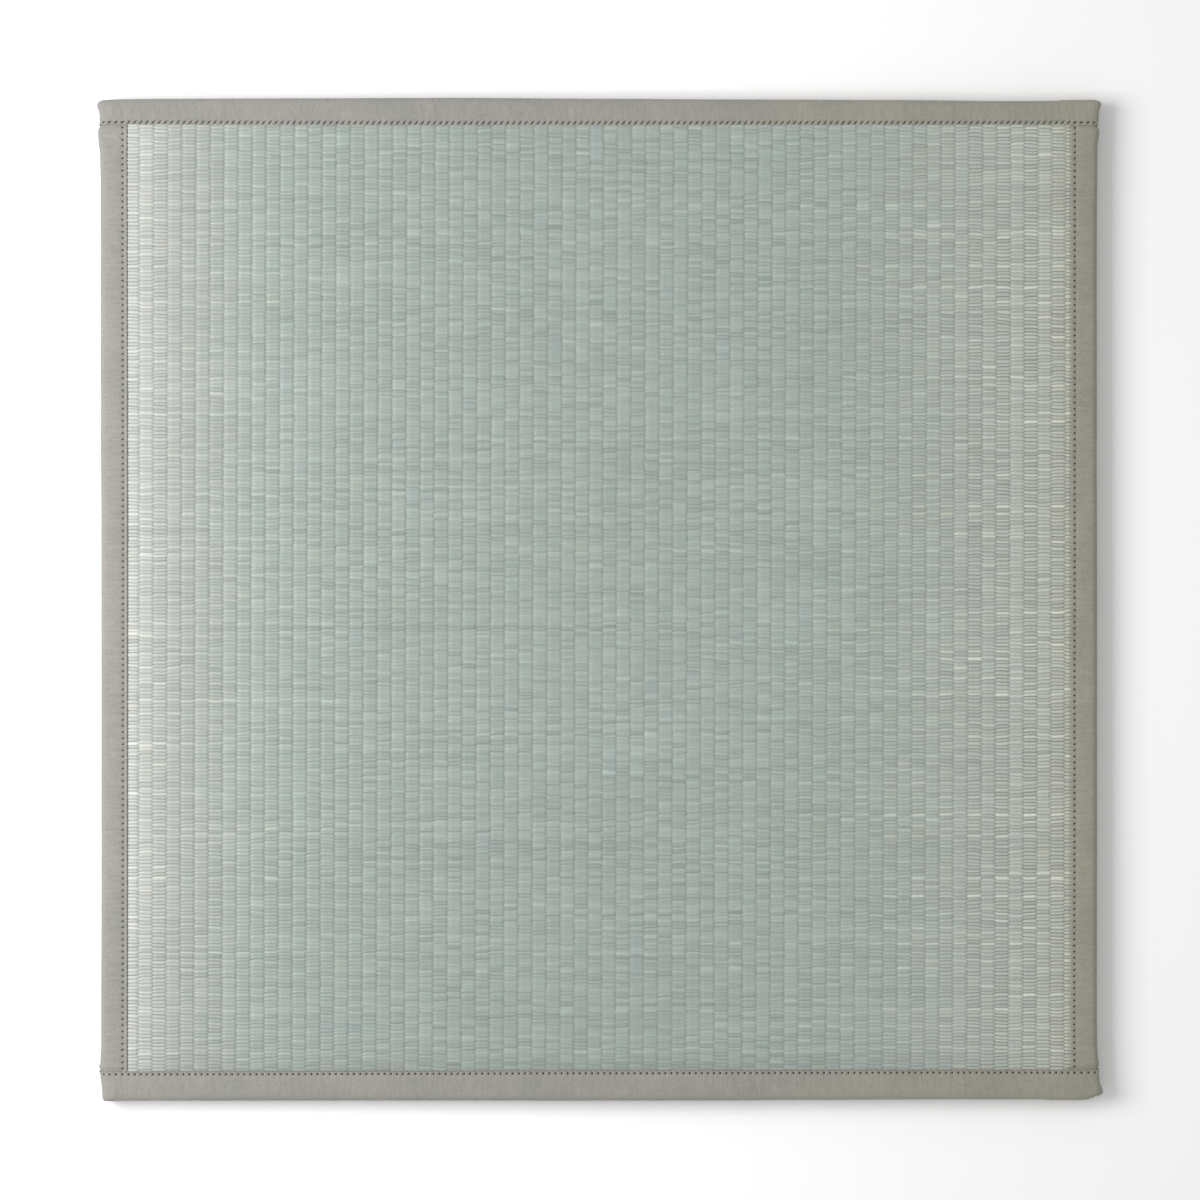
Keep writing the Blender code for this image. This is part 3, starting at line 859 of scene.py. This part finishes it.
def filling_rows(low_side, high_side, run):
    """Rows of the filled mat from one folded edge to the other."""
    rows = []
    for side, sign in ((low_side, -1.0), (high_side, 1.0)):
        edge = sewn_edge(side)
        half = half_size(side)
        rows.extend(sign * r for r in edge_rows(half, 3))
        rows.extend(sign * r for r in (half - EDGE_FALL_REACH - GAP, edge + RUSH_TUCK))
        rows.extend(sign * (edge - r) for r in (GAP, JOGGLE_END, GAP + RUSH_TUCK, JOGGLE_START))
        rows.extend(sign * (edge - r) for r in (12.0, 30.0))
    span = np.linspace(60.0 - sewn_edge(low_side), sewn_edge(high_side) - 60.0, run)
    return np.sort(np.concatenate((rows, span)))


def underside_material(colours):
    """Plain underside of the rush mat: the same rushes, flat and dull."""
    n = Nodes("mat_underside")
    rush = n.noise(340.0, 1.0, (0.06, 1.0, 1.0))
    rib = n.bands("X", 27.7)
    cloud = n.noise(14.0, 3.0, (1.0, 3.0, 1.0))
    colour = n.mix(n.spread(rush, 0.3, 0.7), colours.rush_blue, colours.rush_light)
    colour = n.mix(n.spread(cloud, 0.3, 0.75, 0.0, 0.5), colour, colours.rush_grey)
    colour = n.mix(n.spread(rib, 0.0, 0.25, 0.45, 0.0), colour, colours.valley)
    relief = n.bump(rush, 0.0006, 0.8, n.bump(rib, 0.0008, 0.7))
    return n.finish(colour, 0.75, relief, specular=0.25)


LOW_RELIEF = 4.0
EDGE_PRESS = 0.4
EDGE_PRESS_REACH = 0.6
SEW_ROWS = (-1.7, -0.9, -0.45, 0.0, 0.45, 0.9, 1.7, 2.8)
STITCH_ROWS = (0.0, 0.2, 0.5, 0.8)
# Columns: how far the rolled hem stands towards the rush, its depth.
HEM = ((0.30, 0.08), (0.50, 0.34), (0.44, 0.72), (0.20, 0.95), (-3.0, 1.0))
SIDE_SEWN_END = 1.5
END_SEWN_END = 3.2
TIP_START = 1.6
TIP_ROWS = 8
FAR_OFF = 10.0 * HALF_LENGTH
WAVES = (17.0, 33.0, 71.0, 130.0)
WAVE_HEIGHT = 0.10
CRINKLES = (6.5, 9.0, 13.0)
CRINKLE_HEIGHT = 0.05
PUCKER_HEIGHT = 0.10
PUCKER_REACH = 2.2
FOLD_STEP = 0.55
FOLD_REACH = 0.8
FOLD_STEEP = 9.0


def stitch_places(side, pitch):
    """Places of the needle holes along a strip."""
    if side in SIDES:
        low, high = SIDE_SEWN_END - sewn_edge("near"), sewn_edge("far") - SIDE_SEWN_END
    else:
        low, high = END_SEWN_END - HALF_WIDTH, HALF_WIDTH - END_SEWN_END
    count = int((high - low) / pitch)
    spare = (high - low - count * pitch) / 2.0
    return low + spare + pitch * np.arange(count + 1)


def strip_rows(side):
    """Rows of a strip across its width, from the sewn edge to the folded edge."""
    edge = sewn_edge(side)
    sewn = edge + STRIPS[side]["sewn"]
    start = [edge, edge + 0.35 * STRIPS[side]["sewn"]]
    near_line = [sewn + r for r in SEW_ROWS if sewn + r > start[-1] + 0.25]
    core = half_size(side) - EDGE_RADIUS
    flat = np.linspace(near_line[-1], core, 5)[1:-1]
    return np.sort(np.concatenate((start, near_line, flat, edge_rows(half_size(side), 3))))


def along_rows(side, pitch):
    """Rows of a strip along its length: several to each stitch, and finer ones in the corners."""
    holes = stitch_places(side, pitch)
    if side in SIDES:
        end = HALF_LENGTH - SIDE_STRIP_SHORT
        ends = (holes[-1] + TIP_START, end), (-end, holes[0] - TIP_START)
        tips = [np.linspace(start, stop, TIP_ROWS) for start, stop in ends]
    else:
        tip = edge_rows(HALF_WIDTH, 3)
        tips = tip, -tip[::-1]
    run = np.append((holes[:-1, None] + pitch * np.array(STITCH_ROWS)).ravel(), holes[-1])
    if side not in SIDES:
        run = run[np.abs(run) < HALF_WIDTH - EDGE_RADIUS - GAP]
    return np.sort(np.concatenate((run, *tips)))


def strip_point(side, places, depth, sewing, lead=0.0):
    """Points of a strip's cloth for places on the block, `depth` under its face."""
    low = [-FAR_OFF, -FAR_OFF, 0.0]
    high = [FAR_OFF, FAR_OFF, THICKNESS]
    axis, sign = facing(side)
    (high if sign > 0.0 else low)[axis] = sign * half_size(side)
    if axis == 1:
        low[0], high[0] = -HALF_WIDTH, HALF_WIDTH
    core, away = rounded(places, low, high)
    share = joggle(places[:, 1]) if axis == 0 else np.zeros(len(places))
    along = places[:, 1 - axis]
    across = np.abs(places[:, axis]) - sewn_edge(side)
    fine = cloth_relief(side, along, across, places[:, 2], sewing)
    points = core + away * (EDGE_RADIUS - depth - LAYER * share + fine)[:, None]
    on_face = smooth(places[:, 2] - THICKNESS + 1.0) * smooth(1.0 - across / 3.0)
    phase = hole_phase(side, along, sewing)
    hem = STRIPS[side]["hem"] * (0.5 - 0.5 * np.cos(2.0 * math.pi * phase)) * on_face
    points[:, axis] -= sign * (hem + lead)
    return settle(points, 1.0 - share)


def hole_phase(side, along, sewing):
    """Place between two needle holes, from 0 at one to 1 at the next."""
    holes = stitch_places(side, sewing.pitch / MM)
    return (along - holes[0]) / (sewing.pitch / MM)


def hole_pull(side, along, across, height, sewing):
    """Share by which the cloth is pulled in by the nearest needle hole."""
    holes = stitch_places(side, sewing.pitch / MM)
    phase = hole_phase(side, along, sewing)
    nearest = np.clip(np.round(phase), 0, len(holes) - 1)
    away = (phase - nearest) * sewing.pitch / MM
    off_line = across - STRIPS[side]["sewn"]
    over_rush = np.abs(along) < sewn_edge("left")
    lean = off_line - away * STRIPS[side]["slant"] * np.where(over_rush, 1.0, 0.35)
    radius = sewing.hole_radius / MM
    near = np.exp(-(away / radius / STRIPS[side]["stretch"]) ** 2 - (lean / radius) ** 2)
    return near * STRIPS[side]["pull"] * (height > THICKNESS - 0.5 * EDGE_RADIUS)


def cloth_relief(side, along, across, height, sewing):
    """Relief of a strip: needle holes, puckers between them, soft waves and the folded corners."""
    on_top = smooth((height - THICKNESS + EDGE_RADIUS) / EDGE_RADIUS)
    pull = hole_pull(side, along, across, height, sewing)
    phase = hole_phase(side, along, sewing)
    off_line = np.abs(across - STRIPS[side]["sewn"])
    pucker = np.cos(2.0 * math.pi * phase) * np.exp(-off_line / PUCKER_REACH) * on_top
    seed = 50 + len(side)
    waves = ripples(along, across * 2.0 + height, seed, WAVES)
    crinkle = ripples(along, across + height, seed + 9, CRINKLES)
    relief = WAVE_HEIGHT * waves + CRINKLE_HEIGHT * crinkle - PUCKER_HEIGHT * pucker
    inner = smooth((STRIPS[side]["sewn"] - across) / STRIPS[side]["sewn"]) * on_top
    relief = relief + STRIPS[side]["lip"] * inner
    pressed = np.exp(-np.clip(across, 0.0, None) / EDGE_PRESS_REACH)
    relief = relief - EDGE_PRESS * pressed * on_top
    if side not in SIDES:
        relief = relief + corner_fold(along, across, height, STRIPS[side]["width"])
    relief = relief - np.clip(relief, 0.0, None) * (1.0 - smooth(height / LOW_RELIEF))
    return relief - pull * sewing.hole / MM


def corner_fold(along, across, height, width):
    """Turned-in corner of an end strip: the top layer's slanting edge on the short wall."""
    to_end = HALF_WIDTH - np.abs(along)
    on_wall = smooth(1.0 - to_end / FOLD_REACH)
    slope = across / width - (THICKNESS - height) / THICKNESS
    return FOLD_STEP * smooth(slope * FOLD_STEEP + 0.5) * on_wall


def add_strip(side, sewing, colours):
    """One border strip: a sheet of cloth with a rolled hem, folded over the edge of the mat."""
    axis, sign = facing(side)
    across = np.sort(sign * strip_rows(side))
    along = along_rows(side, sewing.pitch / MM)
    rows = (*((across, along) if axis == 0 else (along, across)), height_rows(3, 2))
    open_sides = {(axis, sign < 0.0)}
    if axis == 0:
        open_sides |= {(1, False), (1, True)}
    places, faces, index = block_grid(rows, open_sides)
    points = [strip_point(side, places, 0.0, sewing)]
    out = np.abs(places[:, axis]) - sewn_edge(side)
    pulls = [hole_pull(side, places[:, 1 - axis], out, places[:, 2], sewing)]
    rim = np.take(index, 0 if sign > 0.0 else -1, axis=axis)
    quads = [faces]
    count = len(places)
    for path in rim_paths(rim, axis == 0):
        last = path
        for lead, depth in HEM:
            points.append(strip_point(side, places[path], depth, sewing, lead))
            pulls.append(np.zeros(len(path)))
            new = count + np.arange(len(path))
            count += len(path)
            quads.append(np.column_stack((last[:-1], last[1:], new[1:], new[:-1])))
            last = new
    name = ("side_strip_" if axis == 0 else "end_strip_") + side
    weft = (0.2, 1.0, 1.0) if axis == 0 else (1.0, 0.2, 1.0)
    material = cloth_material(colours, "side_ribbon" if axis == 0 else "end_ribbon", weft)
    flags = (("pull", np.concatenate(pulls)),)
    points, quads = np.concatenate(points), np.concatenate(quads)
    strip = add_mesh(name + "_cloth", points, quads, material, flags)
    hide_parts(name)


def rim_paths(rim, two_edges):
    """Runs of points along the open rim of a strip."""
    if two_edges:
        return [rim[:, -1], rim[:, 0]]
    loop = np.concatenate((rim[:, 0], rim[-1, 1:], rim[::-1, -1][1:], rim[0, ::-1][1:]))
    return [loop]


def cloth_material(colours, name, weft):
    """Plain-woven ribbon with a fine uneven grain, painted shade inside the needle holes, and a
    painted light colour that warms towards the right.
    """
    n = Nodes(name)
    threads = n.math("MULTIPLY", n.bands("X", 540.0), n.bands("Y", 470.0))
    grain = n.noise(850.0, 2.0)
    slub = n.noise(480.0, 2.0, weft)
    cloud = n.noise(26.0, 3.0)
    # Painted light colour: the strips are slightly bluer on the left and warmer and yellower
    # towards the right.
    side = n.spread(n.from_middle(), -0.1, 0.41)
    painted_light_tint = n.mix(side, (1.0, 1.0, 1.02), (1.04, 1.045, 0.955))
    warm = scaled(colours.binding, (1.05, 1.035, 1.03))
    cool = scaled(colours.binding, (0.95, 0.965, 0.97))
    colour = n.mix(n.spread(cloud, 0.3, 0.7), cool, warm)
    colour = n.mix(1.0, colour, painted_light_tint, "MULTIPLY")
    shade = n.math("MULTIPLY_ADD", grain, 0.44, 0.78)
    shade = n.math("MULTIPLY", shade, n.math("MULTIPLY_ADD", slub, 0.30, 0.85))
    colour = n.darken(colour, shade)
    # Painted shade inside the needle holes, where the cloth is pulled in.
    hole_shade = n.spread(n.attribute("pull"), 0.16, 0.62, 0.0, 0.96)
    colour = n.mix(hole_shade, colour, colours.hole)
    relief = n.bump(threads, 0.00012, 0.5, n.bump(grain, 0.0002, 0.35))
    return n.finish(colour, 0.88, relief, sheen=0.15, specular=0.2)


class TatamiStrips(bpy.types.Operator):
    """Fold the four border strips over the edges"""

    bl_idname = "tatami.strips"
    bl_label = "Border strips"

    def execute(self, context):
        """Build the side strips, then the end strips over them."""
        for side in STRIPS:
            add_strip(side, context.scene.tatami_sewing, context.scene.tatami_colours)
        return {"FINISHED"}


# Columns: share of the stitch, height of the thread in its radii.
THREAD_RUN = ((0.17, -1.8), (0.24, -0.2), (0.36, 0.7), (0.64, 0.7), (0.76, -0.2), (0.83, -1.8))
THREAD_SIDES = 6


class TatamiStitches(bpy.types.Operator):
    """Sew the strips with one line of stitches each"""

    bl_idname = "tatami.stitches"
    bl_label = "Stitches"

    def execute(self, context):
        """Build one joined mesh of thread for each strip."""
        sewing = context.scene.tatami_sewing
        material = thread_material(context.scene.tatami_colours)
        for side in STRIPS:
            name = "stitches_" + side
            points, faces = sew_line(side, sewing)
            thread = add_mesh(name, points, faces, material)
        return {"FINISHED"}


def sew_line(side, sewing):
    """Short arched lengths of thread from hole to hole."""
    pitch = sewing.pitch / MM
    radius = sewing.thread / MM
    holes = stitch_places(side, pitch)[:-1]
    run = np.array(THREAD_RUN)
    turn = np.linspace(0.0, 2.0 * math.pi, THREAD_SIDES, endpoint=False)
    rng = np.random.default_rng(90 + len(side))
    lean = rng.normal(0.0, 0.08, len(holes)) + STRIPS[side]["slant"] * 0.5
    share, height = run[:, 0][None, :, None], run[:, 1][None, :, None]
    along = holes[:, None, None] + pitch * share
    slant = lean[:, None, None] * pitch * (share - 0.5) * 0.4
    across = STRIPS[side]["sewn"] + radius * np.cos(turn) + slant
    rise = sewing.rise / MM + radius * (height + np.sin(turn))
    axis, sign = facing(side)
    along, across, rise = np.broadcast_arrays(along, across, rise)
    places = np.empty((along.size, 3))
    places[:, axis] = sign * (sewn_edge(side) + across.ravel())
    places[:, 1 - axis] = along.ravel()
    places[:, 2] = THICKNESS
    points = thread_points(side, places, rise.ravel())
    index = np.arange(along.size).reshape(along.shape)
    ring = np.roll(index, -1, axis=2)
    quads = np.stack((index[:, :-1], ring[:, :-1], ring[:, 1:], index[:, 1:]), -1)
    return points, quads.reshape(-1, 4)


def thread_points(side, places, rise):
    """Points of the thread, lying on the plain cloth."""
    share = joggle(places[:, 1]) if side in SIDES else np.zeros(len(places))
    points = places.copy()
    points[:, 2] += rise - LAYER * share
    return settle(points, 1.0 - share)


def thread_material(colours):
    """Pale sewing thread with its twist."""
    n = Nodes("sewing_thread")
    twist = n.noise(2600.0, 1.0, (1.0, 1.0, 0.3))
    light = scaled(colours.thread, (1.25, 1.25, 1.25))
    colour = n.mix(n.spread(twist, 0.35, 0.65), colours.thread, light)
    return n.finish(colour, 0.7, n.bump(twist, 0.0001, 0.5), sheen=0.1, specular=0.3)


def floor_material(colours):
    """Plain pale floor."""
    n = Nodes("pale_floor")
    cloud = n.noise(3.0, 2.0)
    pale = scaled(colours.floor, (1.01, 1.01, 1.01))
    colour = n.mix(n.spread(cloud, 0.3, 0.7), colours.floor, pale)
    return n.finish(colour, 0.9, n.bump(n.noise(60.0, 2.0), 0.0002, 0.1), specular=0.1)


FLOOR_HALF = 6.0
FLOOR_LEVEL = -0.0002
KEY_PLACE = (-1.25, 0.17, 1.4)
KEY_SIZE = 1.2
SENSOR = 36.0
IMAGE = 1200


class TatamiStudio(bpy.types.Operator):
    """Lay the floor and set the light and camera"""

    bl_idname = "tatami.studio"
    bl_label = "Studio"

    def execute(self, context):
        """Build the stage."""
        scene = context.scene
        settings = scene.tatami_stage
        corners = [
            (x * FLOOR_HALF, y * FLOOR_HALF, FLOOR_LEVEL)
            for x, y in ((-1.0, -1.0), (1.0, -1.0), (1.0, 1.0), (-1.0, 1.0))
        ]
        mesh = bpy.data.meshes.new("floor")
        mesh.from_pydata(corners, [], [(0, 1, 2, 3)])
        mesh.materials.append(floor_material(scene.tatami_colours))
        floor = bpy.data.objects.new("floor", mesh)
        scene.collection.objects.link(floor)
        add_area_light("key_light", KEY_PLACE, KEY_SIZE, settings.key)
        world = bpy.data.worlds.new("studio_air")
        world.use_nodes = True
        air = world.node_tree.nodes["Background"]
        air.inputs["Color"].default_value = (1.0, 1.0, 1.0, 1.0)
        air.inputs["Strength"].default_value = settings.fill
        scene.world = world
        scene.view_settings.view_transform = "Standard"
        camera = bpy.data.cameras.new("camera")
        camera.sensor_width = SENSOR
        camera.sensor_fit = "HORIZONTAL"
        face = THICKNESS * MM
        camera.lens = (settings.distance - 0.9 * face) * SENSOR / (settings.pixel * IMAGE)
        eye = bpy.data.objects.new("camera", camera)
        eye.location = (
            (IMAGE / 2.0 - settings.middle_x) * settings.pixel,
            (settings.middle_y - IMAGE / 2.0) * settings.pixel,
            settings.distance,
        )
        scene.collection.objects.link(eye)
        scene.camera = eye
        return {"FINISHED"}


def add_area_light(name, place, size, power):
    """Soft square light that looks at the middle of the mat."""
    lamp = bpy.data.lights.new(name, "AREA")
    lamp.shape = "SQUARE"
    lamp.size = size
    lamp.energy = power
    obj = bpy.data.objects.new(name, lamp)
    obj.location = place
    towards = obj.location.to_track_quat("Z", "Y")
    obj.rotation_euler = towards.to_euler()
    bpy.context.scene.collection.objects.link(obj)


class TatamiPanel(bpy.types.Panel):
    """Sidebar list of the mat's pieces"""

    bl_label = "Tatami mat"
    bl_idname = "VIEW3D_PT_tatami"
    bl_space_type = "VIEW_3D"
    bl_region_type = "UI"
    bl_category = "Tatami"

    def draw(self, context):
        """List the pieces and the stage."""
        for operator in OPERATORS:
            self.layout.operator(operator.bl_idname)
        for group in GROUPS:
            box = self.layout.box()
            for name in group[1].__annotations__:
                box.prop(getattr(context.scene, group[0]), name)


GROUPS = (
    ("tatami_weave", TatamiWeave),
    ("tatami_sewing", TatamiSewing),
    ("tatami_colours", TatamiColours),
    ("tatami_stage", TatamiStage),
)
OPERATORS = (TatamiFilling, TatamiRushFace, TatamiStrips, TatamiStitches, TatamiStudio)


def register():
    """Register the classes and the scene's settings."""
    for name, group in GROUPS:
        bpy.utils.register_class(group)
        setattr(bpy.types.Scene, name, PointerProperty(type=group))
    for item in (*OPERATORS, TatamiPanel):
        bpy.utils.register_class(item)


def unregister():
    """Take the classes and settings out again."""
    for item in (TatamiPanel, *reversed(OPERATORS)):
        bpy.utils.unregister_class(item)
    for name, group in reversed(GROUPS):
        delattr(bpy.types.Scene, name)
        bpy.utils.unregister_class(group)


def main():
    """Build the mat and its stage."""
    register()
    bpy.ops.tatami.filling()
    bpy.ops.tatami.rush_face()
    bpy.ops.tatami.strips()
    bpy.ops.tatami.stitches()
    bpy.ops.tatami.studio()


if __name__ == "__main__":
    main()
